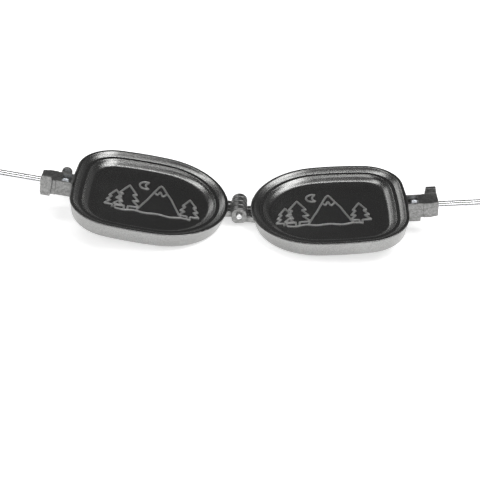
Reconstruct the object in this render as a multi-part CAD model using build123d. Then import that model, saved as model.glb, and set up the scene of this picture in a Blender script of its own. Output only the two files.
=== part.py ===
# Hinged cast-iron pie iron for campfire cooking, opened nearly flat.
# Two shallow pans meet rim to rim, turn on one hinge pin and are held at the
# ends of two long steel rods with half-round wooden grips and a swinging latch.
#
# Row frame: X runs along the handles, Y along the hinge pin, Z up. The origin is
# on the table, midway between the two grips.
# Each half is drawn in its own frame first: u (x) from the hinge pin to the grip,
# v (y) along the pin, w (z) up from the plane in which the two halves meet.
from build123d import *
from math import atan2, cos, degrees, hypot, radians, sin, sqrt
import os

# ---------------------------------------------------------------- pose and fits
raise_angle = 7.5          # each half rises this much from the hinge when open
closing_gap = 0.3          # left between the two rims when shut
running_fit = 0.05         # radial clearance of a pin or rod in its hole
lap_clearance = 0.35       # between a lug and the side that it laps
stop_gap = 0.1             # between the hinge heel and the block that stops it
cut_beyond = 1.0           # a cutter runs this far past the faces that it opens
fused_depth = 1.0          # a piece of a casting runs this far into its neighbour

# ---------------------------------------------------------------- pan, in plan
hinge_setback = 8.7        # from the pin's axis to the pan's outer edge
pan_length = 122.0
pan_width = 109.7
hinge_end_radius = 54.4
side_radius = 229.0
corner_radius = 33.7
handle_end_radius = 299.0

# ---------------------------------------------------------------- pan, in section
pan_depth = 13.0
outer_draft = 2.9          # the outer wall leans in this much by the base
base_edge_radius = 2.5
rim_land = 2.6
upper_slope_run = 4.2
shelf_drop = 2.6           # from the rim to the crimping shelf
shelf_width = 2.8
inner_slope_run = 5.0
cavity_depth = 6.5

# ---------------------------------------------------------------- hinge
pin_diameter = 4.5
pin_projection = 2.6
pin_chamfer = 0.5
pin_head_diameter = 7.5
pin_head_height = 1.5
ear_radius = 6.2
ear_foot_drop = 7.8        # the two outer ears reach lower than they reach high
ear_foot_radius = 4.0
ear_edge_radius = 0.9
ear_width = 5.1
ear_gap = 0.6
arm_top_drop = 2.3
arm_root_depth = 9.0
arm_root_reach = 15.0      # how far the arms run in under the pan's wall
heel_reach = 6.9
heel_top_drop = 2.0
heel_depth = 7.6

# ---------------------------------------------------------------- handle socket
socket_length = 23.5
socket_half_width = 7.1    # of the end block
neck_half_width = 6.6
socket_height = 13.0
end_block_length = 11.5
end_corner_cut = 6.0
end_corner_cut_width = 1.6
lug_length = 9.2
lug_rise = 4.5
lug_thickness = 2.6
lug_top_taper = 0.8
lug_foot_taper = 1.0
round_ear_radius = 4.1
round_ear_rise = 3.6
round_ear_from_pan = 5.6
pocket_length = 8.0
pocket_side_clearance = 0.3
nut_boss_drop = 3.5        # the right pan's socket is deeper under its nut
nut_boss_wall = 2.0        # of metal before and behind the pocket in that boss
pocket_floor_drop = 1.0    # below the base, so that the left pan's pocket goes right through

# ---------------------------------------------------------------- rods and grips
rod_diameter = 6.35
rod_drop = 6.75            # from the meeting plane to the rod's axis
nut_across_flats = 10.0
nut_height = 5.2
rod_end_clearance = 1.2    # from the pan's wall to the rod's threaded end
exposed_rod = 400.0        # between the socket and the grip's collar
collar_diameter = 12.0
collar_length = 6.0
grip_length = 130.0
grip_end_radius = 12.2
grip_middle_radius = 15.0
grip_flat_gap = 0.5        # from the meeting plane to a grip's flat
grip_edge_radius = 2.5
washer_diameter = 13.0     # less than twice rod_drop, so that two of them pass when shut
washer_thickness = 1.2
bush_diameter = 9.0
bush_length = 2.4
latch_thickness = 2.0
latch_wall = 3.6           # of metal round the pivot and the hooked seat
latch_slot_clearance = 0.35
latch_mouth_angle = 75.0
cap_nut_skirt = 5.0

# ---------------------------------------------------------------- worked-out places
rim_level = -closing_gap / 2
pan_end = hinge_setback + pan_length
base_level = rim_level - pan_depth
socket_end = pan_end + socket_length
end_block_start = socket_end - end_block_length
pitch = ear_width + ear_gap
outer_ear = (-2 * ear_width - 1.5 * ear_gap, ear_width)
inner_ear = (ear_gap / 2, ear_width)
rod_radius = rod_diameter / 2
pocket_start = pan_end - outer_draft
pocket_end = pan_end + pocket_length
rod_start = pan_end + rod_end_clearance
grip_start = socket_end + exposed_rod + collar_length
grip_end = grip_start + grip_length
bush_start = grip_end + washer_thickness
bush_end = bush_start + bush_length
cap_nut_start = bush_end + washer_thickness
rod_end = cap_nut_start + cap_nut_skirt


def pin_height():
    """Height of the hinge axis when the base edges of both pans stand on the table."""
    tilt = radians(raise_angle)
    draft = atan2(outer_draft, pan_depth)
    centre_w = base_level + base_edge_radius
    drop = rim_level - centre_w
    centre_u = hinge_setback + (base_edge_radius + drop * sin(draft)) / cos(draft)
    return base_edge_radius - centre_u * sin(tilt) - centre_w * cos(tilt)


# ---------------------------------------------------------------- pan
def towards(centre, target, distance):
    """The point at a distance from centre, on the way to target."""
    along = (target[0] - centre[0], target[1] - centre[1])
    scale = distance / hypot(*along)
    return (centre[0] + along[0] * scale, centre[1] + along[1] * scale)


def corner_centre(side_centre, end_centre):
    """Centre of the corner circle that touches the side arc and the end arc."""
    to_side = side_radius - corner_radius
    to_end = handle_end_radius - corner_radius
    apart = hypot(end_centre[0] - side_centre[0], end_centre[1] - side_centre[1])
    along = (to_side**2 - to_end**2 + apart**2) / (2 * apart)
    across = sqrt(to_side**2 - along**2)
    foot = towards(side_centre, end_centre, along)
    unit = ((end_centre[0] - side_centre[0]) / apart, (end_centre[1] - side_centre[1]) / apart)
    return (foot[0] + unit[1] * across, foot[1] - unit[0] * across)


def arc_about(centre, radius, start, finish):
    """Start, middle and finish of the short arc about centre between two points."""
    chord_middle = ((start[0] + finish[0]) / 2, (start[1] + finish[1]) / 2)
    return (start, towards(centre, chord_middle, radius), finish)


def pan_outline(inset, level):
    """The pan's plan as one closed wire of tangent arcs, drawn in by inset."""
    hinge_centre = (hinge_end_radius, 0)
    side_v = pan_width / 2 - side_radius
    side_u = hinge_end_radius + sqrt((side_radius - hinge_end_radius) ** 2 - side_v**2)
    side_centre = (side_u, side_v)
    end_centre = (pan_length - handle_end_radius, 0)
    corner = corner_centre(side_centre, end_centre)
    hinge_to_side = towards(side_centre, hinge_centre, side_radius - inset)
    side_to_corner = towards(side_centre, corner, side_radius - inset)
    corner_to_end = towards(end_centre, corner, handle_end_radius - inset)
    upper = [
        arc_about(side_centre, side_radius - inset, hinge_to_side, side_to_corner),
        arc_about(corner, corner_radius - inset, side_to_corner, corner_to_end),
    ]
    mirrored = [[(u, -v) for u, v in reversed(arc)] for arc in reversed(upper)]
    end = (corner_to_end, (pan_length - inset, 0), (corner_to_end[0], -corner_to_end[1]))
    hinge_end = ((hinge_to_side[0], -hinge_to_side[1]), (inset, 0), hinge_to_side)
    arcs = [ThreePointArc(*arc) for arc in [*upper, end, *mirrored, hinge_end]]
    return Pos(hinge_setback, 0, level) * Wire(arcs)


def pan_slice(inset_above, drop_above, inset_below, drop_below):
    """A solid between two insets of the pan's plan, at two drops below the rim."""
    below = pan_outline(inset_below, rim_level - drop_below)
    above = pan_outline(inset_above, rim_level - drop_above)
    return Solid.make_loft([below, above], ruled=True)


def pan_block():
    """The pan as a solid block: drafted walls, and a base with a rounded edge."""
    draft = degrees(atan2(outer_draft, pan_depth))
    block = extrude(Face(pan_outline(0, rim_level)), pan_depth, (0, 0, -1), taper=draft)
    return fillet(block.edges().group_by(Axis.Z)[0], base_edge_radius)


def pan_hollow():
    """The cavity: a slope down to the crimping shelf, then one down to the baking floor."""
    shelf_outside = rim_land + upper_slope_run
    shelf_inside = shelf_outside + shelf_width
    upper = pan_slice(rim_land, 0, shelf_outside, shelf_drop)
    lower = pan_slice(shelf_inside, shelf_drop, shelf_inside + inner_slope_run, cavity_depth)
    return upper + lower


# ---------------------------------------------------------------- hinge
def along_pin(profile, start, width):
    """A profile drawn in u and w, as a solid from start to start + width along v."""
    return Pos(0, start, 0) * extrude(Plane.XZ * profile, width, (0, 1, 0))


def arm():
    """From an ear back under the pan's wall, deeper towards its root."""
    return Polygon(
        (0, -ear_radius),
        (arm_root_reach, -arm_root_depth),
        (arm_root_reach, -arm_top_drop),
        (0, -arm_top_drop),
        align=None,
    )


def open_pose(profile):
    """A profile given as it stands in the open pose, turned into the half's own frame."""
    return Rot(0, 0, -raise_angle) * profile


def ear(profile, start, width):
    """A hinge ear and its arm, with the edges of both sides rounded."""
    across = along_pin(profile, start, width).edges().group_by(Axis.Y)
    return fillet(across[0] + across[-1], ear_edge_radius)


def hinge_ears():
    foot = Rectangle(2 * ear_radius, ear_foot_drop, align=(Align.CENTER, Align.MAX))
    foot = fillet(foot.vertices().group_by(Axis.Y)[0], ear_foot_radius)
    outer = Circle(ear_radius) + foot + arm()
    heel = Polygon(
        (-heel_reach, -heel_top_drop),
        (-heel_reach, -heel_depth),
        (0, -heel_depth),
        (0, 0),
        align=None,
    )
    inner = Circle(ear_radius) + arm()
    heel_block = along_pin(open_pose(heel), *inner_ear)
    return ear(outer, *outer_ear) + ear(inner, *inner_ear) + heel_block


def heel_stop():
    """A block under the pan's wall that the other half's heel meets when the iron is open."""
    stop_face = heel_reach + stop_gap
    stop = Polygon(
        (stop_face, -heel_top_drop - stop_gap),
        (arm_root_reach, -heel_top_drop - stop_gap),
        (arm_root_reach, -heel_depth),
        (stop_face, -heel_depth),
        align=None,
    )
    inner_v, inner_width = inner_ear
    return along_pin(open_pose(stop), -inner_v - inner_width, inner_width)


# ---------------------------------------------------------------- handle socket
def standing(profile, low, high):
    """A profile drawn in u and v, as a solid between two levels of w."""
    return Pos(0, 0, low) * extrude(profile, high - low, (0, 0, 1))


def socket_plan():
    """The neck behind the pan, and the wider end block with one corner cut."""
    root = pan_end - base_edge_radius - outer_draft
    wide = socket_half_width
    neck = Pos((root + end_block_start) / 2, 0) * Rectangle(end_block_start - root, 2 * neck_half_width)
    end_block = Polygon(
        (end_block_start, wide),
        (socket_end, wide),
        (socket_end, -wide + end_corner_cut_width),
        (socket_end - end_corner_cut, -wide),
        (end_block_start, -wide),
        align=None,
    )
    return neck + end_block


def end_lug():
    """The wedge at the socket's end that laps the other half's side when shut."""
    middle = socket_end - lug_length / 2
    half = lug_length / 2
    top = half - lug_top_taper
    foot = half - lug_foot_taper
    low = rim_level - socket_height
    profile = Polygon(
        (middle - foot, low),
        (middle + foot, low),
        (middle + half, rim_level),
        (middle + top, lug_rise),
        (middle - top, lug_rise),
        (middle - half, rim_level),
        align=None,
    )
    inner_face = socket_half_width + lap_clearance
    lapping = along_pin(profile, inner_face, lug_thickness)
    root = Pos(middle, inner_face) * Rectangle(2 * foot, 2 * fused_depth)
    return lapping + standing(root, low, rim_level)


def round_ear():
    """A rounded ear beside the left pan's neck that laps the right one's side."""
    middle = pan_end + round_ear_from_pan
    inner_face = neck_half_width + lap_clearance
    top_centre = round_ear_rise - round_ear_radius
    low = rim_level - socket_height
    profile = Pos(middle, top_centre) * Circle(round_ear_radius)
    profile += Pos(middle, (top_centre + low) / 2) * Rectangle(2 * round_ear_radius, top_centre - low)
    root = Pos(middle, -inner_face) * Rectangle(2 * round_ear_radius, 2 * fused_depth)
    ear = along_pin(profile, -inner_face - lug_thickness, lug_thickness)
    return ear + standing(root, low, rim_level)


def pocket_plan(wall, half_width):
    middle = (pocket_start + pocket_end) / 2
    return Pos(middle, 0) * Rectangle(pocket_end - pocket_start + 2 * wall, 2 * half_width)


def nut_pocket():
    plan = pocket_plan(0, nut_across_flats / 2 + pocket_side_clearance)
    return standing(plan, base_level - pocket_floor_drop, rim_level + cut_beyond)


def socket(is_left):
    body = standing(socket_plan(), rim_level - socket_height, rim_level) + end_lug()
    if is_left:
        return body + round_ear()
    boss = pocket_plan(nut_boss_wall, neck_half_width)
    return body + standing(boss, base_level - nut_boss_drop, base_level + fused_depth)


def along_rod(radius, start, end):
    """A cylinder on the rod's axis, between two distances from the hinge pin."""
    return Pos(start, 0, -rod_drop) * Rot(0, 90, 0) * Cylinder(
        radius, end - start, align=(Align.CENTER, Align.CENTER, Align.MIN)
    )


def bored_on_rod(start, end):
    """A cutter for the rod's hole through a piece that runs from start to end."""
    return along_rod(rod_radius + running_fit, start - cut_beyond, end + cut_beyond)


def pan(is_left):
    """One casting: pan, hinge ears and handle socket."""
    casting = pan_block() + hinge_ears() + heel_stop() + socket(is_left)
    casting -= nut_pocket() - pan_block()
    casting -= pan_hollow()
    casting -= bored_on_rod(pocket_end, socket_end)
    hole = Circle(pin_diameter / 2 + running_fit)
    return casting - along_pin(hole, -2 * pitch, 4 * pitch)


def hinge_pin():
    """A headed pin; its head is at the far side and its plain end stands out in front."""
    near_end = outer_ear[0] - pin_projection
    far_end = -outer_ear[0] + running_fit
    shank = along_pin(Circle(pin_diameter / 2), near_end, far_end - near_end)
    shank = chamfer(shank.edges().group_by(Axis.Y)[0], pin_chamfer)
    return shank + along_pin(Circle(pin_head_diameter / 2), far_end, pin_head_height)


# ---------------------------------------------------------------- rod, grip and ends
def rod():
    return along_rod(rod_radius, rod_start, rod_end)


def hexagon_on_rod(across_flats, start, height):
    """A hexagonal prism with a corner up, bored for the rod."""
    across_corners = across_flats / cos(radians(30))
    blank = extrude(Plane.YZ * RegularPolygon(across_corners / 2, 6, rotation=90), height, (1, 0, 0))
    return Pos(start, 0, -rod_drop) * blank


def lock_nut():
    start = pocket_end - nut_height
    nut = hexagon_on_rod(nut_across_flats, start, nut_height)
    return nut - bored_on_rod(start, pocket_end)


def ring(outer_diameter, start, length):
    end = start + length
    return along_rod(outer_diameter / 2, start, end) - bored_on_rod(start, end)


def grip():
    """Half of a turned barrel, so that the two halves close into one round grip."""
    middle = grip_length / 2
    swell = ThreePointArc((0, grip_end_radius), (middle, grip_middle_radius), (grip_length, grip_end_radius))
    outline = Polyline((grip_length, grip_end_radius), (grip_length, 0), (0, 0), (0, grip_end_radius))
    half_barrel = revolve(make_face([swell, outline]), -Axis.X, 180)
    half_barrel = fillet(half_barrel.edges().group_by(Axis.X)[0], grip_edge_radius)
    half_barrel = fillet(half_barrel.edges().group_by(Axis.X)[-1], grip_edge_radius)
    return Pos(grip_start, 0, -grip_flat_gap) * half_barrel - bored_on_rod(grip_start, grip_end)


def cap_nut():
    """A hexagonal skirt with a domed end that covers the rod's end."""
    skirt = hexagon_on_rod(nut_across_flats, cap_nut_start, cap_nut_skirt)
    radius = nut_across_flats / 2
    quarter = CenterArc((0, 0), radius, 0, 90)
    dome = revolve(make_face([quarter, Polyline((0, radius), (0, 0), (radius, 0))]), Axis.X)
    dome = Pos(cap_nut_start + cap_nut_skirt, 0, -rod_drop) * dome
    bore_end = rod_end + running_fit
    return skirt + dome - along_rod(rod_radius + running_fit, cap_nut_start - cut_beyond, bore_end)


def latch_hook():
    """A plate that hangs from one rod's end and swings up to hook over the other's bush."""
    seat_distance = 2 * rod_drop
    hole_radius = bush_diameter / 2 + running_fit
    seat_radius = bush_diameter / 2 + latch_slot_clearance
    outside = seat_radius + latch_wall
    plate = Circle(outside) + Pos(0, -seat_distance) * Circle(outside)
    plate += Pos(0, -seat_distance / 2) * Rectangle(2 * outside, seat_distance)
    mouth = Circle(seat_distance + seat_radius) - Circle(seat_distance - seat_radius)
    far = 2 * seat_distance
    swing = radians(latch_mouth_angle)
    sector = Polygon((0, 0), (0, -far), (far, -far), (far * sin(swing), -far * cos(swing)), align=None)
    plate -= (mouth & sector) + Pos(0, -seat_distance) * Circle(seat_radius)
    plate -= Circle(hole_radius)
    start = bush_start + (bush_length - latch_thickness) / 2
    return Pos(start, 0, -rod_drop) * extrude(Plane.YZ * plate, latch_thickness, (1, 0, 0))


# ---------------------------------------------------------------- the two halves, placed
def place(piece, is_left):
    turn = 180 if is_left else 0
    return Pos(0, 0, pin_height()) * Rot(0, 0, turn) * Rot(0, -raise_angle, 0) * piece


def pieces():
    yield "hinge_pin", Pos(0, 0, pin_height()) * hinge_pin()
    yield "latch_hook", place(latch_hook(), True)
    for side, is_left in (("left", True), ("right", False)):
        yield f"{side}_pan", place(pan(is_left), is_left)
        yield f"{side}_rod", place(rod(), is_left)
        yield f"{side}_lock_nut", place(lock_nut(), is_left)
        collar = ring(collar_diameter, grip_start - collar_length, collar_length)
        yield f"{side}_grip_collar", place(collar, is_left)
        yield f"{side}_grip", place(grip(), is_left)
        inner_washer = ring(washer_diameter, grip_end, washer_thickness)
        yield f"{side}_inner_washer", place(inner_washer, is_left)
        yield f"{side}_bush", place(ring(bush_diameter, bush_start, bush_length), is_left)
        outer_washer = ring(washer_diameter, bush_end, washer_thickness)
        yield f"{side}_outer_washer", place(outer_washer, is_left)
        yield f"{side}_cap_nut", place(cap_nut(), is_left)


os.makedirs("parts", exist_ok=True)
for name, piece in pieces():
    export_step(piece, f"parts/{name}.step")
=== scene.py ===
import bmesh
import bpy
import math
from mathutils import Matrix, Vector


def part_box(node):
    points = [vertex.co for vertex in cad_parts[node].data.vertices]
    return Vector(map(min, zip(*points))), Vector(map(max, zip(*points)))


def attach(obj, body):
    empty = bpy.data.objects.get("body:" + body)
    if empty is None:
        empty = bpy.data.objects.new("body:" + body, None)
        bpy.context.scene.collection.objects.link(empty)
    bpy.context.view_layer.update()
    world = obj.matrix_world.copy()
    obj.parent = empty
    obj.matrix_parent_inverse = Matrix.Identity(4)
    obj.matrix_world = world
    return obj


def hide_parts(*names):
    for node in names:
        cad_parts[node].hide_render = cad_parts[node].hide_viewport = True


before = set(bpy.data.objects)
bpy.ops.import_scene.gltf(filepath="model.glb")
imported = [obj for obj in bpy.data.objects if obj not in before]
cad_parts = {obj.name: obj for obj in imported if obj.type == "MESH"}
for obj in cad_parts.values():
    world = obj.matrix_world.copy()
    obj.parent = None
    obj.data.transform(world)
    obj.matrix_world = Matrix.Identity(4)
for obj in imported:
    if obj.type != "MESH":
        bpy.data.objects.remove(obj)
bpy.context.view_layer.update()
print("frame loaded")

# Each half is drawn lying flat, in millimetres: u from the hinge pin to the grip,
# v along the pin, w up from the plane where the halves meet. Then it is set in place.
millimetre = 0.001
pinLow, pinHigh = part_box("hinge_pin")
stance = {
    "pinHeight": (pinLow.z + pinHigh.z) / 2,
    "raiseAngle": 7.5,      # degrees, each half
}


def halfPlace(isLeft):  # from a half's own millimetres to its place in the frame
    turn = Matrix.Rotation(math.pi if isLeft else 0, 4, "Z")
    rise = Matrix.Rotation(-math.radians(stance["raiseAngle"]), 4, "Y")
    pinPlace = Matrix.Translation((0, 0, stance["pinHeight"]))
    return pinPlace @ turn @ rise @ Matrix.Scale(millimetre, 4)


# small helpers

def linear(code):  # an sRGB hex colour as the linear values that nodes take
    parts = [int(code[i:i + 2], 16) / 255 for i in (0, 2, 4)]
    return [c / 12.92 if c <= 0.04045 else ((c + 0.055) / 1.055) ** 2.4 for c in parts] + [1]


def addNode(tree, kind, settings=None, links=None):
    node = tree.nodes.new(kind)
    for name, value in (settings or {}).items():
        if isinstance(name, int) or name in node.inputs:
            node.inputs[name].default_value = value
        else:
            setattr(node, name, value)
    for name, source in (links or {}).items():
        tree.links.new(source, node.inputs[name])
    return node


def newObject(name, mesh):
    made = bpy.data.objects.new(name, mesh)
    bpy.context.scene.collection.objects.link(made)
    return made


def meshFrom(name, points, edges=(), faces=()):
    mesh = bpy.data.meshes.new(name)
    mesh.from_pydata(points, edges, faces)
    return mesh


def frozen(made):  # the object's modifiers worked into its mesh
    bpy.context.view_layer.update()
    graph = bpy.context.evaluated_depsgraph_get()
    mesh = bpy.data.meshes.new_from_object(made.evaluated_get(graph))
    made.modifiers.clear()
    made.data = mesh
    return made


def smoothed(mesh, sharpAngle):
    mesh.polygons.foreach_set("use_smooth", [True] * len(mesh.polygons))
    mesh.set_sharp_from_angle(angle=math.radians(sharpAngle))


def cleaned(mesh, mergeDistance=0.0005):
    work = bmesh.new()
    work.from_mesh(mesh)
    bmesh.ops.remove_doubles(work, verts=work.verts, dist=mergeDistance)
    bmesh.ops.recalc_face_normals(work, faces=work.faces)
    work.to_mesh(mesh)
    work.free()
    return mesh


def joined(name, meshes):
    work = bmesh.new()
    for mesh in meshes:
        work.from_mesh(mesh)
    whole = bpy.data.meshes.new(name)
    work.to_mesh(whole)
    work.free()
    return whole


def runTree(made, tree, values):  # a Geometry Nodes tree worked into a plain mesh
    modifier = made.modifiers.new(tree.name, "NODES")
    modifier.node_group = tree
    for item in tree.interface.items_tree:
        if item.item_type == "SOCKET" and item.in_out == "INPUT" and item.name in values:
            modifier[item.identifier] = values[item.name]
    return frozen(made)


def addPiece(name, mesh, isLeft, body, nodes, slot, material, sharpAngle=40):
    mesh.transform(halfPlace(isLeft))
    mesh.materials.clear()
    mesh.materials.append(material)
    smoothed(mesh, sharpAngle)
    piece = newObject(name, mesh)
    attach(piece, body)
    if nodes:
        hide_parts(*nodes)
    return piece


def roundedPath(corners, steps=4):  # corners are (x, y, rounding); the ends stay sharp
    path = [tuple(corners[0][:2])]
    for before, corner, after in zip(corners, corners[1:], corners[2:]):
        here = Vector(corner[:2])
        back, ahead = Vector(before[:2]) - here, Vector(after[:2]) - here
        if corner[2] == 0:
            path.append(tuple(here))
            continue
        reach = corner[2] / math.tan(back.angle(ahead) / 2)
        start, end = here + back.normalized() * reach, here + ahead.normalized() * reach
        for step in range(steps + 1):
            t = step / steps
            path.append(tuple(start * (1 - t) ** 2 + here * 2 * t * (1 - t) + end * t ** 2))
    path.append(tuple(corners[-1][:2]))
    return path


def roundedLoop(corners, steps=4):
    return roundedPath([corners[-1], *corners, corners[0]], steps)[1:-1]


# materials

def newMaterial(name):
    material = bpy.data.materials.new(name)
    material.use_nodes = True
    return material, material.node_tree, material.node_tree.nodes["Principled BSDF"]


def seasonedCastIron(name, finish):
    # sand-cast iron under a baked oil skin: near black, a fine pebbly grain, a satin sheen, and painted
    # light by which way a face looks
    material, tree, shader = newMaterial(name)
    place = addNode(tree, "ShaderNodeTexCoord").outputs["Object"]
    # set askew, so that no face lies along the grain pattern's own cells
    askew = addNode(tree, "ShaderNodeMapping", {"Rotation": finish["grainTurn"]},
                    {"Vector": place}).outputs[0]
    grain = addNode(tree, "ShaderNodeTexNoise", {
        "Scale": 1 / finish["grainSize"], "Detail": 3, "Roughness": 0.6}, {"Vector": askew})
    clouds = addNode(tree, "ShaderNodeTexNoise", {
        "Scale": 1 / finish["cloudSize"], "Detail": 3, "Roughness": 0.5}, {"Vector": askew})
    mixed = addNode(tree, "ShaderNodeMath", {"operation": "MULTIPLY_ADD", 1: finish["cloudShare"]},
                    {0: clouds.outputs["Fac"], 2: grain.outputs["Fac"]})
    tones = addNode(tree, "ShaderNodeValToRGB", links={"Fac": mixed.outputs[0]})
    tones.color_ramp.elements[0].position = finish["toneLevels"][0]
    tones.color_ramp.elements[0].color = linear(finish["darkTone"])
    tones.color_ramp.elements[1].position = finish["toneLevels"][1]
    tones.color_ramp.elements[1].color = linear(finish["lightTone"])
    # painted light: level faces are painted darker (painted shade) and upright ones lighter (painted
    # highlight), for how the light falls on them
    normal = addNode(tree, "ShaderNodeSeparateXYZ", links={
        0: addNode(tree, "ShaderNodeTexCoord").outputs["Normal"]})
    upright = addNode(tree, "ShaderNodeMapRange", {
        "From Min": finish["uprightFaces"][0], "From Max": finish["uprightFaces"][1],
        "To Min": 1.0, "To Max": finish["uprightPaintedLight"]},
        {"Value": normal.outputs["Z"]})
    level = addNode(tree, "ShaderNodeMapRange", {
        "From Min": finish["levelFaces"][0], "From Max": finish["levelFaces"][1],
        "To Min": 1.0, "To Max": finish["levelPaintedShade"]},
        {"Value": normal.outputs["Z"]})
    paintedFacingLight = addNode(tree, "ShaderNodeMath", {"operation": "MULTIPLY"},
                    {0: upright.outputs["Result"], 1: level.outputs["Result"]})
    # the hinge and socket ends keep a duller, blotched skin: 1 there, 0 along the pan
    along = addNode(tree, "ShaderNodeMath", {"operation": "ABSOLUTE"}, {
        0: addNode(tree, "ShaderNodeSeparateXYZ", links={0: place}).outputs["X"]})
    fromMiddle = addNode(tree, "ShaderNodeMath", {"operation": "SUBTRACT", 1: finish["panMiddle"]},
                         {0: along.outputs[0]})
    apart = addNode(tree, "ShaderNodeMath", {"operation": "ABSOLUTE"}, {0: fromMiddle.outputs[0]})
    atEnds = addNode(tree, "ShaderNodeMapRange", {
        "From Min": finish["panReach"], "From Max": finish["panReach"] + finish["panFade"]},
        {"Value": apart.outputs[0]}).outputs["Result"]
    blotches = addNode(tree, "ShaderNodeTexNoise", {
        "Scale": 1 / finish["blotchSize"], "Detail": 2, "Roughness": 0.6}, {"Vector": askew})
    blotch = addNode(tree, "ShaderNodeMapRange", {
        "From Min": finish["blotchLevels"][0], "From Max": finish["blotchLevels"][1],
        "To Min": finish["blotchGain"], "To Max": 1.0},
        {"Value": blotches.outputs["Fac"]})
    kept = addNode(tree, "ShaderNodeMix", {2: 1.0}, {0: atEnds, 3: blotch.outputs["Result"]})
    # the painted light by facing, times the ends' blotches
    gain = addNode(tree, "ShaderNodeMath", {"operation": "MULTIPLY"},
                   {0: paintedFacingLight.outputs[0], 1: kept.outputs[0]})
    skin = addNode(tree, "ShaderNodeVectorMath", {"operation": "SCALE"},
                   {0: tones.outputs["Color"], "Scale": gain.outputs[0]})
    sheen = addNode(tree, "ShaderNodeMapRange", {
        "To Min": finish["roughness"], "To Max": finish["endRoughness"]}, {"Value": atEnds})
    metal = addNode(tree, "ShaderNodeMapRange", {
        "To Min": finish["metallic"], "To Max": finish["endMetallic"]}, {"Value": atEnds})
    relief = addNode(tree, "ShaderNodeBump", {"Strength": 1.0, "Distance": finish["grainDepth"]},
                     {"Height": grain.outputs["Fac"]})
    tree.links.new(skin.outputs["Vector"], shader.inputs["Base Color"])
    tree.links.new(sheen.outputs["Result"], shader.inputs["Roughness"])
    tree.links.new(metal.outputs["Result"], shader.inputs["Metallic"])
    tree.links.new(relief.outputs["Normal"], shader.inputs["Normal"])
    return material


drawMark = {
    "width": 0.0006,         # metres across the bar, coarser than real so that it shows
    "depth": 0.00005,
    "strength": 0.3,
    "tones": (0.3, 0.6),     # the noise levels of the dark and the bright tone
    "sheen": (0.3, 0.7),
    "rougher": 0.08,         # than the steel's own roughness, in a mark
    "smoother": 0.05,        # between the marks
}


def brightMetal(name, tone, darkTone, roughness, streak):
    # bar stock, plated, cropped or turned bright: faint draw marks that run along it
    material, tree, shader = newMaterial(name)
    place = addNode(tree, "ShaderNodeTexCoord").outputs["Object"]
    across = 1 / drawMark["width"]
    stretch = addNode(tree, "ShaderNodeMapping", {"Scale": (1 / streak, across, across)},
                      {"Vector": place})
    marks = addNode(tree, "ShaderNodeTexNoise", {"Scale": 1.0, "Detail": 3, "Roughness": 0.6},
                    {"Vector": stretch.outputs["Vector"]})
    tones = addNode(tree, "ShaderNodeValToRGB", links={"Fac": marks.outputs["Fac"]})
    tones.color_ramp.elements[0].position = drawMark["tones"][0]
    tones.color_ramp.elements[0].color = linear(darkTone)
    tones.color_ramp.elements[1].position = drawMark["tones"][1]
    tones.color_ramp.elements[1].color = linear(tone)
    sheen = addNode(tree, "ShaderNodeMapRange", {
        "From Min": drawMark["sheen"][0], "From Max": drawMark["sheen"][1],
        "To Min": roughness + drawMark["rougher"], "To Max": roughness - drawMark["smoother"]},
        {"Value": marks.outputs["Fac"]})
    relief = addNode(tree, "ShaderNodeBump", {
        "Strength": drawMark["strength"], "Distance": drawMark["depth"]}, {"Height": marks.outputs["Fac"]})
    tree.links.new(tones.outputs["Color"], shader.inputs["Base Color"])
    tree.links.new(sheen.outputs["Result"], shader.inputs["Roughness"])
    tree.links.new(relief.outputs["Normal"], shader.inputs["Normal"])
    shader.inputs["Metallic"].default_value = 1.0
    return material


wood = {
    "grainLength": 0.09,     # metres, along the grip
    "grainWidth": 0.004,
    "fleckLength": 0.004,
    "fleckWidth": 0.0005,    # coarser than real ray flecks so that they show
    "fleckDepth": 0.00006,
    "fleckShare": 0.55,
    "fleckLevels": (0.62, 0.72),   # of the noise, where a fleck begins and is full
    "toneLevels": (0.3, 0.68),
    "roughness": 0.38,
    "varnish": 0.5,
    "varnishRoughness": 0.12,
    "darkTone": "8a5a30",
    "lightTone": "c79a64",
    "fleckTone": "6e4220",
}


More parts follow.
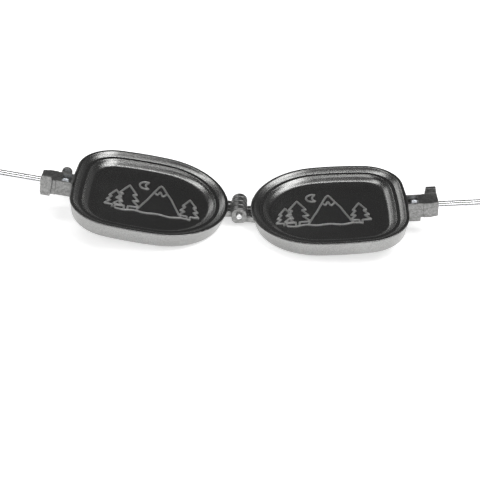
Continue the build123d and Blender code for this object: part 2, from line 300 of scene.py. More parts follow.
def varnishedBeech(name):
    # turned beech under clear varnish: warm straw brown, short dark flecks along the grip
    material, tree, shader = newMaterial(name)
    place = addNode(tree, "ShaderNodeAttribute", {"attribute_name": "grainPlace"}).outputs["Vector"]
    grainScale = (1 / wood["grainLength"], 1 / wood["grainWidth"], 1 / wood["grainWidth"])
    fleckScale = (1 / wood["fleckLength"], 1 / wood["fleckWidth"], 1 / wood["fleckWidth"])
    along = addNode(tree, "ShaderNodeMapping", {"Scale": grainScale}, {"Vector": place})
    figure = addNode(tree, "ShaderNodeTexNoise", {
        "Scale": 1.0, "Detail": 5, "Roughness": 0.55, "Distortion": 0.4},
        {"Vector": along.outputs["Vector"]})
    tones = addNode(tree, "ShaderNodeValToRGB", links={"Fac": figure.outputs["Fac"]})
    tones.color_ramp.elements[0].position = wood["toneLevels"][0]
    tones.color_ramp.elements[0].color = linear(wood["darkTone"])
    tones.color_ramp.elements[1].position = wood["toneLevels"][1]
    tones.color_ramp.elements[1].color = linear(wood["lightTone"])
    fleckPlace = addNode(tree, "ShaderNodeMapping", {"Scale": fleckScale}, {"Vector": place})
    flecks = addNode(tree, "ShaderNodeTexNoise", {"Scale": 1.0, "Detail": 1},
                     {"Vector": fleckPlace.outputs["Vector"]})
    fleckMask = addNode(tree, "ShaderNodeMapRange", {
        "From Min": wood["fleckLevels"][0], "From Max": wood["fleckLevels"][1],
        "To Max": wood["fleckShare"]},
        {"Value": flecks.outputs["Fac"]})
    colour = addNode(tree, "ShaderNodeMix", {"data_type": "RGBA", 7: linear(wood["fleckTone"])},
                     {0: fleckMask.outputs["Result"], 6: tones.outputs["Color"]})
    relief = addNode(tree, "ShaderNodeBump", {"Strength": 0.4, "Distance": wood["fleckDepth"]},
                     {"Height": flecks.outputs["Fac"]})
    tree.links.new(colour.outputs[2], shader.inputs["Base Color"])
    tree.links.new(relief.outputs["Normal"], shader.inputs["Normal"])
    shader.inputs["Roughness"].default_value = wood["roughness"]
    shader.inputs["Coat Weight"].default_value = wood["varnish"]
    shader.inputs["Coat Roughness"].default_value = wood["varnishRoughness"]
    return material


ironFinish = {
    "grainSize": 0.0008,     # metres, coarser than the mould's sand so that it shows
    "grainDepth": 0.00005,
    "grainTurn": (0.5, 0.35, 0.7),
    "cloudSize": 0.03,
    "cloudShare": 0.25,
    "darkTone": "80807f",
    "lightTone": "949493",
    "toneLevels": (0.5, 0.78),       # of the noise, for the dark and the light tone
    # painted light by facing: upright faces painted lighter, level faces painted darker
    "uprightFaces": (0.55, 0.1),     # by how far a face looks up: begins, full
    "uprightPaintedLight": 1.3,
    "levelFaces": (0.88, 0.985),     # likewise
    "levelPaintedShade": 0.68,
    "panMiddle": 0.0685,     # from the hinge pin
    "panReach": 0.0595,      # the pan's own skin goes this far either side of its middle
    "panFade": 0.002,
    "blotchSize": 0.0022,
    "blotchLevels": (0.35, 0.65),
    "blotchGain": 0.6,
    "roughness": 0.27,
    "endRoughness": 0.33,
    "metallic": 0.95,
    "endMetallic": 0.72,
}
castIron = seasonedCastIron("seasonedCastIron", ironFinish)
# the raised lines' crowns, painted paler as a painted highlight, and without the painted light by facing
highlightPaintedIron = seasonedCastIron("rubbedCastIron", ironFinish | {
    "darkTone": "858584", "lightTone": "9f9f9e", "uprightPaintedLight": 1.0, "levelPaintedShade": 1.0,
    "roughness": 0.3, "metallic": 0.45})
nickelRod = brightMetal("nickelPlatedRod", "f4f4f5", "d2d3d6", 0.2, 0.03)
zincSteel = brightMetal("zincPlatedSteel", "c9ccd0", "95999f", 0.34, 0.002)
croppedPin = brightMetal("croppedPinSteel", "f2f2f2", "a9a9a9", 0.3, 0.0015)
brass = brightMetal("turnedBrass", "cfa85a", "a8823c", 0.28, 0.002)
beech = varnishedBeech("varnishedBeech")
print("materials made")

# pan shells: one cross section swept round the pan's outline

pan = {
    "length": 122.0,
    "width": 109.7,
    "setback": 8.7,          # from the pin to the rim
    "hingeRadius": 54.4,
    "sideRadius": 229.0,
    "cornerRadius": 33.7,
    "handleRadius": 299.0,
    "pointSpacing": 1.5,
    # inset from the outline, height above the meeting plane, rounding
    "section": [
        (22.0, -6.65, 0), (14.8, -6.65, 5.0), (11.4, -4.6, 8.0), (9.6, -2.75, 0.7),
        (6.7, -2.75, 1.6), (4.3, -1.45, 8.0), (2.6, -0.15, 1.0), (0.0, -0.15, 0.7),
        (2.9, -13.15, 2.5), (9.0, -13.15, 0),
    ],
}


def arcPoints(centre, radius, start, end, spacing):
    count = max(2, round(abs(end - start) * radius / spacing))
    angles = [start + (end - start) * i / count for i in range(count)]
    return [(centre[0] + radius * math.cos(a), centre[1] + radius * math.sin(a)) for a in angles]


def panOutline():  # counter-clockwise from the middle of the handle end
    hinge = Vector((pan["hingeRadius"], 0))
    sideDrop = pan["sideRadius"] - pan["width"] / 2
    sideReach = math.sqrt((pan["sideRadius"] - pan["hingeRadius"]) ** 2 - sideDrop ** 2)
    side = Vector((pan["hingeRadius"] + sideReach, -sideDrop))
    end = Vector((pan["length"] - pan["handleRadius"], 0))
    toSide = pan["sideRadius"] - pan["cornerRadius"]
    toEnd = pan["handleRadius"] - pan["cornerRadius"]
    apart = end - side
    along = (toSide ** 2 - toEnd ** 2 + apart.length_squared) / (2 * apart.length)
    across = math.sqrt(toSide ** 2 - along ** 2)
    unit = apart.normalized()
    corner = side + unit * along + Vector((unit.y, -unit.x)) * across
    endAngle = math.atan2(corner.y - end.y, corner.x - end.x)
    sideAngle = math.atan2(corner.y - side.y, corner.x - side.x)
    hingeAngle = math.atan2(hinge.y - side.y, hinge.x - side.x)
    step = pan["pointSpacing"]
    upper = arcPoints(end, pan["handleRadius"], 0, endAngle, step)
    upper += arcPoints(corner, pan["cornerRadius"], endAngle, sideAngle, step)
    upper += arcPoints(side, pan["sideRadius"], sideAngle, hingeAngle, step)
    upper += arcPoints(hinge, pan["hingeRadius"], hingeAngle, math.pi, step)
    lower = [(x, -y) for x, y in reversed(upper[1:])]
    points = upper + [(0.0, 0.0)] + lower
    return [(x + pan["setback"], y, 0) for x, y in points]


def sweepTree():  # a section carried round a path, as one mesh
    tree = bpy.data.node_groups.new("sweptSection", "GeometryNodeTree")
    tree.interface.new_socket(name="Geometry", in_out="INPUT", socket_type="NodeSocketGeometry")
    tree.interface.new_socket(name="Section", in_out="INPUT", socket_type="NodeSocketObject")
    tree.interface.new_socket(name="Finish", in_out="INPUT", socket_type="NodeSocketMaterial")
    tree.interface.new_socket(name="Geometry", in_out="OUTPUT", socket_type="NodeSocketGeometry")
    given = addNode(tree, "NodeGroupInput")
    path = addNode(tree, "GeometryNodeMeshToCurve", links={"Mesh": given.outputs["Geometry"]})
    upright = addNode(tree, "GeometryNodeSetCurveNormal", {"mode": "Z_UP"}, {"Curve": path.outputs[0]})
    shape = addNode(tree, "GeometryNodeObjectInfo", links={"Object": given.outputs["Section"]})
    section = addNode(tree, "GeometryNodeMeshToCurve", links={"Mesh": shape.outputs["Geometry"]})
    swept = addNode(tree, "GeometryNodeCurveToMesh", links={
        "Curve": upright.outputs[0], "Profile Curve": section.outputs[0]})
    real = addNode(tree, "GeometryNodeRealizeInstances", links={"Geometry": swept.outputs[0]})
    done = addNode(tree, "GeometryNodeSetMaterial", links={
        "Geometry": real.outputs[0], "Material": given.outputs["Finish"]})
    result = addNode(tree, "NodeGroupOutput")
    tree.links.new(done.outputs[0], result.inputs[0])
    return tree


def panShell(name, tree):
    outline = panOutline()
    count = len(outline)
    path = newObject(name, meshFrom(name, outline, [(i, (i + 1) % count) for i in range(count)]))
    # a swept section has x outwards and y down
    points = [(-inset, -level, 0) for inset, level in roundedPath(pan["section"])]
    links = [(i, i + 1) for i in range(len(points) - 1)]
    section = newObject(name + "Section", meshFrom(name + "Section", points, links))
    shell = runTree(path, tree, {"Section": section, "Finish": castIron}).data
    bpy.data.objects.remove(section)
    bpy.data.objects.remove(path)
    work = bmesh.new()
    work.from_mesh(shell)
    bmesh.ops.remove_doubles(work, verts=work.verts, dist=0.0005)
    bmesh.ops.holes_fill(work, edges=[e for e in work.edges if e.is_boundary], sides=0)
    bmesh.ops.recalc_face_normals(work, faces=work.faces)
    work.to_mesh(shell)
    work.free()
    return shell


# hinge ears and handle sockets: the frame's own solids, with cast edges

castDetail = {
    "voxel": 0.28,           # millimetres
    "smoothing": 0.5,
    "passes": 4,
    # the part of each half that is kept: lowest and highest u, v, w
    "hinge": ((-20, -13.5, -20), (12.0, 13.5, 10)),
    "socket": ((127.4, -11.5, -20), (170, 11.5, 10)),
}


def castPart(node, isLeft, corners):
    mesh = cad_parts[node].data.copy()
    mesh.transform(halfPlace(isLeft).inverted())
    work = bmesh.new()
    work.from_mesh(mesh)
    bmesh.ops.remove_doubles(work, verts=work.verts, dist=0.002)
    for corner, outwards in zip(corners, (-1, 1)):
        for axis in range(3):
            normal = Vector((0, 0, 0))
            normal[axis] = outwards
            bmesh.ops.bisect_plane(work, geom=[*work.verts, *work.edges, *work.faces],
                                   plane_co=corner, plane_no=normal, clear_outer=True)
            bmesh.ops.holes_fill(work, edges=[e for e in work.edges if e.is_boundary], sides=0)
    bmesh.ops.triangulate(work, faces=work.faces)
    bmesh.ops.recalc_face_normals(work, faces=work.faces)
    work.to_mesh(mesh)
    work.free()
    part = newObject(node + "Detail", mesh)
    remesh = part.modifiers.new("voxels", "REMESH")
    remesh.mode = "VOXEL"
    remesh.voxel_size = castDetail["voxel"]
    soften = part.modifiers.new("soften", "SMOOTH")
    soften.factor = castDetail["smoothing"]
    soften.iterations = castDetail["passes"]
    mesh = frozen(part).data
    bpy.data.objects.remove(part)
    return mesh


sweep = sweepTree()
for side in ("left", "right"):
    isLeft = side == "left"
    meshes = [panShell(side + "Shell", sweep)]
    meshes += [castPart(side + "_pan", isLeft, castDetail[place]) for place in ("hinge", "socket")]
    casting = addPiece(side + "_casting", joined(side + "_casting", meshes), isLeft, side + "_half",
                       [side + "_pan"], "seasoned_cast_iron", castIron, 50)
    print(casting.name, len(casting.data.polygons), "faces")

# turned pieces: rods, ferrules, washers, bushes, nuts and the hinge pin

handle = {
    "axisDrop": 6.75,        # from the meeting plane to the rod's axis
    "rodRadius": 3.175,
    "boreClearance": 0.05,
    "endRounding": 0.6,
    "nutAcrossFlats": 10.0,
    "nutLead": 1.2,          # chamfered length at each end of a nut
    "nutBoreChamfer": 0.4,
    "nutFlatShare": 0.96,    # the chamfer's inner radius by the hexagon's inner one
    "segments": 64,
    "flatSegments": 96,      # for pieces with flats
}


def turned(name, profile, segments=handle["segments"], flats=0, acrossFlats=0):
    # profile is a closed loop of (along, radius); with flats, the outside is cut to a polygon
    points, faces = [], []
    count = len(profile)
    for i in range(segments):
        angle = 2 * math.pi * i / segments
        limit = math.inf
        if flats:
            sector = 2 * math.pi / flats
            fromFlat = (angle + sector / 2) % sector - sector / 2
            limit = acrossFlats / 2 / math.cos(fromFlat)
        for along, radius in profile:
            r = min(radius, limit)
            points.append((along, r * math.cos(angle), r * math.sin(angle)))
        for j in range(count):
            k = (i + 1) % segments
            n = (j + 1) % count
            faces.append((i * count + j, i * count + n, k * count + n, k * count + j))
    return cleaned(meshFrom(name, points, faces=faces), 0.0001)


def onRod(mesh):
    mesh.transform(Matrix.Translation((0, 0, -handle["axisDrop"])))
    return mesh


def acrossHinge(mesh):  # turned along the pin instead of along the rod
    mesh.transform(Matrix.Rotation(math.pi / 2, 4, "Z"))
    return mesh


def ringProfile(start, end, inner, outer, rounding):
    return roundedLoop([(start, inner, rounding / 2), (start, outer, rounding),
                        (end, outer, rounding), (end, inner, rounding / 2)])


def alongHalf(node):  # a right-hand node's start and end along its rod, in millimetres
    back = halfPlace(False).inverted()
    reach = [(back @ v.co).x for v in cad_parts[node].data.vertices]
    return min(reach), max(reach)


spans = {name: alongHalf("right_" + name) for name in (
    "rod", "lock_nut", "grip_collar", "grip", "inner_washer", "bush", "outer_washer", "cap_nut")}
print("spans", {name: [round(v, 2) for v in span] for name, span in spans.items()})

boreRadius = handle["rodRadius"] + handle["boreClearance"]


def rodMesh():
    start, end = spans["rod"]
    r, rounding = handle["rodRadius"], handle["endRounding"]
    return onRod(turned("rod", roundedLoop([
        (start, 0, 0), (start, r, rounding), (end, r, rounding), (end, 0, 0)])))


def hexagonReach(acrossFlats):  # a hexagon's corner radius, and its chamfer's inner radius
    return acrossFlats / 2 / math.cos(math.pi / 6), acrossFlats / 2 * handle["nutFlatShare"]


def nutMesh():
    start, end = spans["lock_nut"]
    acrossFlats, lead = handle["nutAcrossFlats"], handle["nutLead"]
    corner, flat = hexagonReach(acrossFlats)
    middle, step = (flat + corner) / 2, lead * 0.4
    bore = boreRadius + handle["nutBoreChamfer"]
    profile = [
        (start, bore), (start, flat), (start + step, middle), (start + lead, corner),
        (end - lead, corner), (end - step, middle), (end, flat), (end, bore),
        (end - 0.5, boreRadius), (start + 0.5, boreRadius)]
    return onRod(turned("nut", profile, handle["flatSegments"], 6, acrossFlats))


capNut = {
    "endGap": 0.02,          # the dome stops this far short of the frame's own
    "domeSteps": 12,
    "domeShare": 0.985,      # the dome's radius by half the nut's width
    "shoulderShare": 1.03,
    "lead": 1.1,             # chamfered length at the flat end
}


def capNutMesh():
    start, end = spans["cap_nut"]
    end -= capNut["endGap"]
    acrossFlats = handle["nutAcrossFlats"]
    corner, flat = hexagonReach(acrossFlats)
    dome = acrossFlats / 2
    skirtEnd = end - dome
    steps = capNut["domeSteps"]
    angles = [math.pi / 2 * i / steps for i in range(steps + 1)]
    crown = [(skirtEnd + dome * math.sin(t), dome * capNut["domeShare"] * math.cos(t)) for t in angles]
    profile = [
        (start, 0), (start, flat), (start + 0.5, (flat + corner) / 2), (start + capNut["lead"], corner),
        (skirtEnd - 0.6, corner), (skirtEnd - 0.2, dome * capNut["shoulderShare"]), *crown]
    return onRod(turned("capNut", profile, handle["flatSegments"], 6, acrossFlats))


collar = {
    "radius": 6.0,
    "nose": 0.9,             # length of the chamfered nose
    "noseDrop": 0.6,
    "grooveDepth": 0.45,
    "grooveHalfWidth": 0.5,
    "grooveFromMiddle": 0.6,
}


def collarMesh():
    start, end = spans["grip_collar"]
    outer, side = collar["radius"], collar["grooveHalfWidth"]
    groove = (start + end) / 2 - collar["grooveFromMiddle"]
    return onRod(turned("collar", roundedLoop([
        (start, boreRadius, 0.2), (start, outer - collar["noseDrop"], 0.5),
        (start + collar["nose"], outer, 0.4), (groove - side, outer, 0.3),
        (groove, outer - collar["grooveDepth"], 0.3), (groove + side, outer, 0.3),
        (end, outer, 0.3), (end, boreRadius, 0.2)])))


ring = {
    "washerRadius": 6.5,
    "washerRounding": 0.35,
    "bushRadius": 4.5,
    "bushRounding": 0.2,
}


def washerMesh(name):
    profile = ringProfile(*spans[name], boreRadius, ring["washerRadius"], ring["washerRounding"])
    return onRod(turned("washer", profile))


def bushMesh():
    profile = ringProfile(*spans["bush"], boreRadius, ring["bushRadius"], ring["bushRounding"])
    return onRod(turned("bush", profile))


grip = {
    "flatLevel": -0.5,       # from the meeting plane
    "endRadius": 12.2,
    "middleRadius": 15.0,
    "endRounding": 2.5,
    "flatCorner": 1.4,
    "endSteps": 8,
    "barrelSteps": 48,
    "roundSteps": 40,
}


def gripStations(length):  # close together where the ends round over
    edge, steps = grip["endRounding"], grip["endSteps"]
    ends = [edge * (1 - math.cos(math.pi / 2 * i / steps)) for i in range(steps + 1)]
    count = grip["barrelSteps"]
    barrel = [edge + (length - 2 * edge) * i / count for i in range(1, count)]
    return ends + barrel + [length - s for s in reversed(ends)]


def gripRing(radius):  # a half round with soft corners at its flat
    corner, steps = grip["flatCorner"], grip["roundSteps"]
    low = [(radius * math.cos(a), -radius * math.sin(a)) for a in
           [math.pi * i / steps for i in range(2, steps - 1)]]
    soft = [(radius - corner, 0), (radius - corner * 0.35, -corner * 0.1),
            (radius - corner * 0.07, -corner * 0.45)]
    return soft + low + [(-y, w) for y, w in reversed(soft)]


def gripMesh():
    start, end = spans["grip"]
    length = end - start
    edge, middleRadius = grip["endRounding"], grip["middleRadius"]
    rise = middleRadius - grip["endRadius"]
    bow = (length ** 2 / 4 + rise ** 2) / (2 * rise)
    rings = []
    for s in gripStations(length):
        radius = middleRadius - bow + math.sqrt(bow ** 2 - (s - length / 2) ** 2)
        toEnd = min(s, length - s)
        if toEnd < edge:
            radius -= edge - math.sqrt(edge ** 2 - (edge - toEnd) ** 2)
        rings.append([(start + s, y, w + grip["flatLevel"]) for y, w in gripRing(radius)])
    size = len(rings[0])
    last = (len(rings) - 1) * size
    points = [point for loop in rings for point in loop]
    faces = [(i + j, i + (j + 1) % size, i + size + (j + 1) % size, i + size + j)
             for i in range(0, last, size) for j in range(size)]
    faces += [tuple(range(size)), tuple(last + j for j in reversed(range(size)))]
    mesh = cleaned(meshFrom("grip", points, faces=faces), 0.0001)
    grain = mesh.attributes.new("grainPlace", "FLOAT_VECTOR", "POINT")
    grain.data.foreach_set("vector", [c * millimetre for v in mesh.vertices for c in v.co])
    return mesh


pin = {
    "radius": 2.25,
    "headRadius": 3.75,
    "headHeight": 1.5,
    "crop": 0.35,            # the cropped end's hollow
}


def pinMesh():
    back = halfPlace(False).inverted()
    reach = [(back @ v.co).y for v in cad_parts["hinge_pin"].data.vertices]
    near, far = min(reach), max(reach)
    r, headRadius, neck = pin["radius"], pin["headRadius"], far - pin["headHeight"]
    profile = roundedLoop([
        (near + pin["crop"], 0, 0), (near, 0.7, 0.3), (near, r, 0.5), (neck, r, 0.1),
        (neck, headRadius, 0.3), (far - 0.2, headRadius, 0.7), (far, 0, 0)])
    return acrossHinge(turned("pin", profile))


def threadTree():  # a ridge coiled round a rod's end
    tree = bpy.data.node_groups.new("rolledThread", "GeometryNodeTree")
    for name, kind in (("Geometry", "NodeSocketGeometry"), ("Turns", "NodeSocketFloat"),
                       ("Length", "NodeSocketFloat"), ("Radius", "NodeSocketFloat"),
                       ("Ridge", "NodeSocketFloat"), ("Finish", "NodeSocketMaterial")):
        tree.interface.new_socket(name=name, in_out="INPUT", socket_type=kind)
    tree.interface.new_socket(name="Geometry", in_out="OUTPUT", socket_type="NodeSocketGeometry")
    given = addNode(tree, "NodeGroupInput")
    coil = addNode(tree, "GeometryNodeCurveSpiral", {"Resolution": 36}, {
        "Rotations": given.outputs["Turns"], "Start Radius": given.outputs["Radius"],
        "End Radius": given.outputs["Radius"], "Height": given.outputs["Length"]})
    ridge = addNode(tree, "GeometryNodeCurvePrimitiveCircle", {"Resolution": 6},
                    {"Radius": given.outputs["Ridge"]})
    swept = addNode(tree, "GeometryNodeCurveToMesh", {"Fill Caps": True}, {
        "Curve": coil.outputs[0], "Profile Curve": ridge.outputs[0]})
    real = addNode(tree, "GeometryNodeRealizeInstances", links={"Geometry": swept.outputs[0]})
    done = addNode(tree, "GeometryNodeSetMaterial", links={
        "Geometry": real.outputs[0], "Material": given.outputs["Finish"]})
    result = addNode(tree, "NodeGroupOutput")
    tree.links.new(done.outputs[0], result.inputs[0])
    return tree


thread = {
    "pitch": 1.27,           # twenty to the inch, as on quarter-inch stock
    "length": 9.5,
    "ridge": 0.42,           # radius of the ridge's section
    "sunk": 0.55,            # depth of the ridge's middle in the rod, by that radius
    "lead": 0.6,             # from the rod's end to the first turn's middle
}


def threadMesh(tree):
    carrier = newObject("thread", meshFrom("thread", [(0, 0, 0)]))
    made = runTree(carrier, tree, {
        "Turns": thread["length"] / thread["pitch"], "Length": thread["length"],
        "Radius": handle["rodRadius"] - thread["ridge"] * thread["sunk"],
        "Ridge": thread["ridge"], "Finish": zincSteel})
    mesh = made.data
    bpy.data.objects.remove(made)
    first = spans["rod"][0] + thread["lead"]
    mesh.transform(Matrix.Translation((first, 0, 0)) @ Matrix.Rotation(math.pi / 2, 4, "Y"))
    return onRod(cleaned(mesh, 0.0001))


threads = threadTree()
for side in ("left", "right"):
    isLeft, body = side == "left", side + "_half"
    steel = ("bright_rod_steel", nickelRod)
    zinc = ("zinc_plated_steel", zincSteel)
    addPiece(side + "_handleRod", rodMesh(), isLeft, body, [side + "_rod"], *steel)
    addPiece(side + "_rodThread", threadMesh(threads), isLeft, body, [], *zinc, 60)
    addPiece(side + "_lockNut", nutMesh(), isLeft, body, [side + "_lock_nut"], *zinc, 25)
    addPiece(side + "_ferrule", collarMesh(), isLeft, body, [side + "_grip_collar"], *steel)
    addPiece(side + "_woodGrip", gripMesh(), isLeft, body, [side + "_grip"], "varnished_wood", beech, 60)
    addPiece(side + "_innerWasher", washerMesh("inner_washer"), isLeft, body,
             [side + "_inner_washer"], *zinc)
    addPiece(side + "_latchBush", bushMesh(), isLeft, body, [side + "_bush"], "bush_brass", brass)
    addPiece(side + "_outerWasher", washerMesh("outer_washer"), isLeft, body,
             [side + "_outer_washer"], *zinc)
    addPiece(side + "_capNut", capNutMesh(), isLeft, body, [side + "_cap_nut"], *zinc, 25)
addPiece("hingePin", pinMesh(), False, "left_half", ["hinge_pin"], "pin_steel", croppedPin)

# latch hook: a flat plate that swings on the left bush

latch = {
    "seatDistance": 13.5,    # between the two rods when the iron is shut
    "seatRadius": 4.85,
    "outside": 8.45,         # radius of the plate round either rod
    "holeRadius": 4.55,
    "holeSteps": 48,
    "edgeBevel": 0.3,
}


def arc(centre, radius, start, end, steps=28):  # degrees, in (v, w)
    angles = [math.radians(start + (end - start) * i / steps) for i in range(steps + 1)]
    return [(centre[0] + radius * math.cos(a), centre[1] + radius * math.sin(a)) for a in angles]


def latchMesh():
    distance, seat, outside = latch["seatDistance"], latch["seatRadius"], latch["outside"]
    pivot, hook = (0, 0), (0, -distance)
    near, far = distance - seat, distance + seat
    entry = -math.degrees(math.acos(outside / near))
    tipDrop = (far ** 2 - outside ** 2 + distance ** 2) / (2 * distance)
    tip = (math.sqrt(far ** 2 - tipDrop ** 2), -tipDrop)
    tipOnMouth = math.degrees(math.atan2(tip[1], tip[0]))
    tipOnHook = math.degrees(math.atan2(tip[1] + distance, tip[0]))
    outline = arc(hook, outside, -90, -180) + arc(pivot, outside, 180, 0)
    outline += arc(pivot, near, entry, -90)
    outline += arc(hook, seat, 90, 270)[1:]
    outline += arc(pivot, far, -90, tipOnMouth)[1:]
    outline += arc(hook, outside, tipOnHook, -90)[1:-1]
    back = halfPlace(True).inverted()
    reach = [(back @ v.co).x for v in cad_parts["latch_hook"].data.vertices]
    hole = arc(pivot, latch["holeRadius"], 0, 360, latch["holeSteps"])[:-1]
    work = bmesh.new()
    loops = []
    for loop in (outline, hole):
        corners = [work.verts.new((min(reach), v, w - handle["axisDrop"])) for v, w in loop]
        loops += [work.edges.new(ends) for ends in zip(corners, corners[1:] + corners[:1])]
    plate = bmesh.ops.triangle_fill(work, use_beauty=True, edges=loops)["geom"]
    plateFaces = [f for f in plate if isinstance(f, bmesh.types.BMFace)]
    lifted = bmesh.ops.extrude_face_region(work, geom=plateFaces, use_keep_orig=True)["geom"]
    bmesh.ops.translate(work, vec=(max(reach) - min(reach), 0, 0),
                        verts=[g for g in lifted if isinstance(g, bmesh.types.BMVert)])
    bmesh.ops.recalc_face_normals(work, faces=work.faces)
    mesh = bpy.data.meshes.new("latch")
    work.to_mesh(mesh)
    work.free()
    plate = newObject("latchPlate", mesh)
    bevel = plate.modifiers.new("edges", "BEVEL")
    bevel.width = latch["edgeBevel"]
    bevel.segments = 2
    bevel.limit_method = "ANGLE"
    bevel.angle_limit = math.radians(50)
    mesh = frozen(plate).data
    bpy.data.objects.remove(plate)
    return mesh


addPiece("latchPlate", latchMesh(), True, "latch", ["latch_hook"], "zinc_plated_steel", zincSteel, 35)
print("steel and wood pieces made")

# raised line picture in each pan: firs, a hill and a moon, cast with the pan

picture = {
    "width": 1.8,            # of a raised line, millimetres
    "height": 1.0,
    "spacing": 0.7,          # between points along a line
    "centre": 66.0,          # from the hinge pin
    "floor": -6.65,
    "sunk": 0.15,            # a line's path lies this far below the floor
    "strokes": [             # (right, up) as seen from the front: ground, hill and snow line
        [(-29.2, -19.9), (-22.7, -20.7), (-15.1, -19), (-6.5, -20.4),
         (3.2, -19.3), (13, -20.7), (21.6, -19), (29.2, -19.9)],
        [(-13, -19.2), (-8.6, -8.5), (-5.4, -1.4), (0, 12.8), (3.8, 19.9),
         (7.6, 13.5), (9.7, 9.2), (13, 2.8), (17.3, -8.5), (21.6, -18.5)],
        [(-1.1, 9.9), (1.6, 7.1), (3.5, 11.4), (5.8, 6.2), (8.9, 10.2)],
    ],
    "firs": [(-21, -20, 34), (-30.5, -19.6, 24), (27.5, -19.6, 27)],   # foot and height
    "moon": (-8.5, 17.5, 5.0),   # centre and radius
    "tiers": [(0.30, 0.16), (0.26, 0.40), (0.20, 0.64)],    # a bough's reach and level by the fir's height
    "roundSteps": 10,
}


def curved(corners, steps=6):  # a smooth line through the corners
    points = []
    ends = [corners[0], *corners, corners[-1]]
    for a, b, c, d in zip(ends, ends[1:], ends[2:], ends[3:]):
        for i in range(steps):
            t = i / steps
            points.append(tuple(0.5 * (2 * q + (r - p) * t + (2 * p - 5 * q + 4 * r - s) * t ** 2
                                       + (3 * q - p - 3 * r + s) * t ** 3)
                                for p, q, r, s in zip(a, b, c, d)))
    return points + [tuple(corners[-1])]


def firStroke(x, foot, height):  # trunk, three tiers of boughs and back down
    left = [(x - 0.04 * height, foot), (x - 0.04 * height, foot + 0.14 * height)]
    for reach, level in picture["tiers"]:
        left.append((x - reach * height, foot + level * height))
        left.append((x - reach * height * 0.42, foot + (level + 0.22) * height))
    right = [(2 * x - px, py) for px, py in reversed(left)]
    return left[:-1] + [(x, foot + height)] + right[1:]


def pictureLines():
    lines = [curved(stroke) for stroke in picture["strokes"]]
    lines += [firStroke(*fir) for fir in picture["firs"]]
    x, y, r = picture["moon"]
    lines.append(arc((x, y), r, 60, 300, 20) + arc((x + r * 0.95, y), r * 0.98, 235, 125, 12))
    return lines


def raisedLineTree():  # a round-topped line along every stroke
    tree = bpy.data.node_groups.new("raisedLines", "GeometryNodeTree")
    for name, kind in (("Geometry", "NodeSocketGeometry"), ("Spacing", "NodeSocketFloat"),
                       ("Section", "NodeSocketObject"), ("Finish", "NodeSocketMaterial")):
        tree.interface.new_socket(name=name, in_out="INPUT", socket_type=kind)
    tree.interface.new_socket(name="Geometry", in_out="OUTPUT", socket_type="NodeSocketGeometry")
    given = addNode(tree, "NodeGroupInput")
    path = addNode(tree, "GeometryNodeMeshToCurve", links={"Mesh": given.outputs["Geometry"]})
    even = addNode(tree, "GeometryNodeResampleCurve", {"mode": "LENGTH"},
                   {"Curve": path.outputs[0], "Length": given.outputs["Spacing"]})
    upright = addNode(tree, "GeometryNodeSetCurveNormal", {"mode": "Z_UP"}, {"Curve": even.outputs[0]})
    shape = addNode(tree, "GeometryNodeObjectInfo", links={"Object": given.outputs["Section"]})
    section = addNode(tree, "GeometryNodeMeshToCurve", links={"Mesh": shape.outputs["Geometry"]})
    swept = addNode(tree, "GeometryNodeCurveToMesh", {"Fill Caps": True}, {
        "Curve": upright.outputs[0], "Profile Curve": section.outputs[0]})
    real = addNode(tree, "GeometryNodeRealizeInstances", links={"Geometry": swept.outputs[0]})
    done = addNode(tree, "GeometryNodeSetMaterial", links={
        "Geometry": real.outputs[0], "Material": given.outputs["Finish"]})
    result = addNode(tree, "NodeGroupOutput")
    tree.links.new(done.outputs[0], result.inputs[0])
    return tree


def pictureMesh(name, tree, isLeft):
    points, edges = [], []
    foot = picture["floor"] - picture["sunk"]
    facing = -1 if isLeft else 1     # upright from the front in both pans
    for line in pictureLines():
        first = len(points)
        points += [(picture["centre"] + facing * x, facing * y, foot) for x, y in line]
        edges += [(i, i + 1) for i in range(first, len(points) - 1)]
    count = picture["roundSteps"]
    tall = picture["height"] + picture["sunk"]
    angles = [2 * math.pi * i / count for i in range(count)]
    crown = [(picture["width"] / 2 * math.cos(a), -max(-0.1, tall * math.sin(a)), 0) for a in angles]
    links = [(i, (i + 1) % count) for i in range(count)]
    section = newObject("lineSection", meshFrom("lineSection", crown, links))
    carrier = newObject(name, meshFrom(name, points, edges))
    made = runTree(carrier, tree, {
        "Spacing": picture["spacing"], "Section": section, "Finish": highlightPaintedIron})
    mesh = cleaned(made.data, 0.0001)
    bpy.data.objects.remove(section)
    bpy.data.objects.remove(made)
    return mesh


raisedLines = raisedLineTree()
for side in ("left", "right"):
    isLeft = side == "left"
    addPiece(side + "_raisedPicture", pictureMesh(side + "Picture", raisedLines, isLeft), isLeft,
             side + "_half", [], "seasoned_cast_iron", highlightPaintedIron, 60)
print("raised pictures made")

# floor, world, lamps and camera

studio = {
    "floorRadius": 45.0,     # metres
    "floorTone": "f2f2f2",
    "floorGlow": 0.56,       # what the floor adds where it is seen or mirrored
    "floorSides": 96,
    "horizon": 0.25,         # light from low all round
    "overhead": 0.05,        # light from above
    "fade": (0.2, 0.45),     # between them, by the sine of the height angle
    "lamps": [               # place, width, height, watts
        ((0.0, 0.45, 1.5), 2.4, 0.35, 12.0),
        ((0.75, -0.3, 1.4), 0.9, 0.8, 9.5),
        ((-0.4, -1.2, 1.4), 2.0, 0.9, 11.5),
        ((-0.95, 2.0, 1.0), 1.2, 0.5, 3.6),
    ],
}


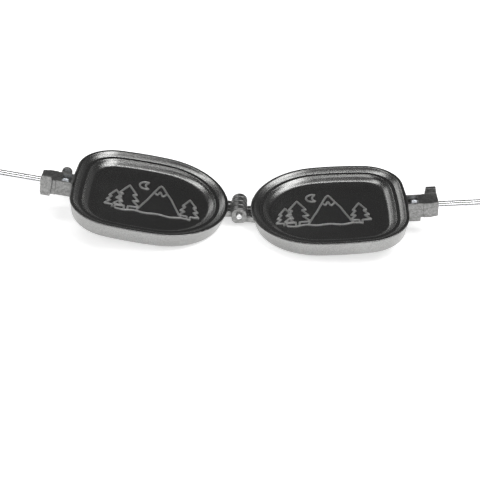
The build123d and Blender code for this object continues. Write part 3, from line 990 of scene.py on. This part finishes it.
def studioFloor():
    count, radius = studio["floorSides"], studio["floorRadius"]
    angles = [2 * math.pi * i / count for i in range(count)]
    rim = [(radius * math.cos(a), radius * math.sin(a), 0) for a in angles]
    floor = newObject("studioFloor", meshFrom("studioFloor", rim, faces=[tuple(range(count))]))
    material = bpy.data.materials.new("paleFloor")
    material.use_nodes = True
    tree = material.node_tree
    tree.nodes.clear()
    rays = addNode(tree, "ShaderNodeLightPath")
    seen = addNode(tree, "ShaderNodeMath", {"operation": "MAXIMUM"},
                   {0: rays.outputs["Is Camera Ray"], 1: rays.outputs["Is Glossy Ray"]})
    shown = addNode(tree, "ShaderNodeMath", {"operation": "MAXIMUM"},
                    {0: seen.outputs[0], 1: rays.outputs["Is Transmission Ray"]})
    lit = addNode(tree, "ShaderNodeBsdfDiffuse", {"Color": linear(studio["floorTone"])})
    glow = addNode(tree, "ShaderNodeEmission", {"Strength": studio["floorGlow"]})
    both = addNode(tree, "ShaderNodeAddShader", links={0: lit.outputs[0], 1: glow.outputs[0]})
    choice = addNode(tree, "ShaderNodeMixShader", links={
        0: shown.outputs[0], 1: lit.outputs[0], 2: both.outputs[0]})
    addNode(tree, "ShaderNodeOutputMaterial", links={"Surface": choice.outputs[0]})
    floor.data.materials.append(material)


def studioWorld():
    world = bpy.data.worlds.new("softStudio")
    bpy.context.scene.world = world
    world.use_nodes = True
    tree = world.node_tree
    tree.nodes.clear()
    direction = addNode(tree, "ShaderNodeTexCoord").outputs["Generated"]
    parts = addNode(tree, "ShaderNodeSeparateXYZ", links={0: direction})
    fade = addNode(tree, "ShaderNodeMapRange", {
        "interpolation_type": "SMOOTHSTEP", "From Min": studio["fade"][0], "From Max": studio["fade"][1],
        "To Min": studio["horizon"], "To Max": studio["overhead"]}, {"Value": parts.outputs["Z"]})
    sky = addNode(tree, "ShaderNodeBackground", links={"Strength": fade.outputs["Result"]})
    addNode(tree, "ShaderNodeOutputWorld", links={"Surface": sky.outputs[0]})


def studioLamps():
    for number, (place, width, height, power) in enumerate(studio["lamps"]):
        light = bpy.data.lights.new("softBox" + str(number), "AREA")
        light.shape = "RECTANGLE"
        light.size, light.size_y = width, height
        light.energy = power
        lamp = newObject(light.name, light)
        lamp.location = place
        lamp.rotation_euler = (-Vector(place)).to_track_quat("-Z", "Y").to_euler()


view = {                     # degrees, millimetres for the lens, metres
    "elevation": 35.64,
    "azimuth": -1.63,
    "roll": 4.45,
    "lens": 74.96,           # on a 36 mm wide sensor
    "distance": 0.8011,
    "aim": (0.00248, 0.0, -0.0315),     # from the hinge pin
}


def studioCamera():
    elevation, azimuth, roll = (math.radians(view[k]) for k in ("elevation", "azimuth", "roll"))
    forward = Vector((-math.sin(azimuth) * math.cos(elevation), math.cos(azimuth) * math.cos(elevation),
                      -math.sin(elevation)))
    level = Vector((math.cos(azimuth), math.sin(azimuth), 0))
    above = level.cross(forward)
    right = level * math.cos(roll) + above * math.sin(roll)
    up = above * math.cos(roll) - level * math.sin(roll)
    place = Vector(view["aim"]) + Vector((0, 0, stance["pinHeight"])) - forward * view["distance"]
    camera = bpy.data.cameras.new("camera")
    camera.lens = view["lens"]
    camera.clip_start, camera.clip_end = 0.05, 50
    holder = newObject("camera", camera)
    turn = Matrix((right, up, -forward)).transposed().to_4x4()
    holder.matrix_world = Matrix.Translation(place) @ turn
    bpy.context.scene.camera = holder


studioFloor()
studioWorld()
studioLamps()
studioCamera()
bpy.context.scene.view_settings.view_transform = "Standard"
print("studio made")
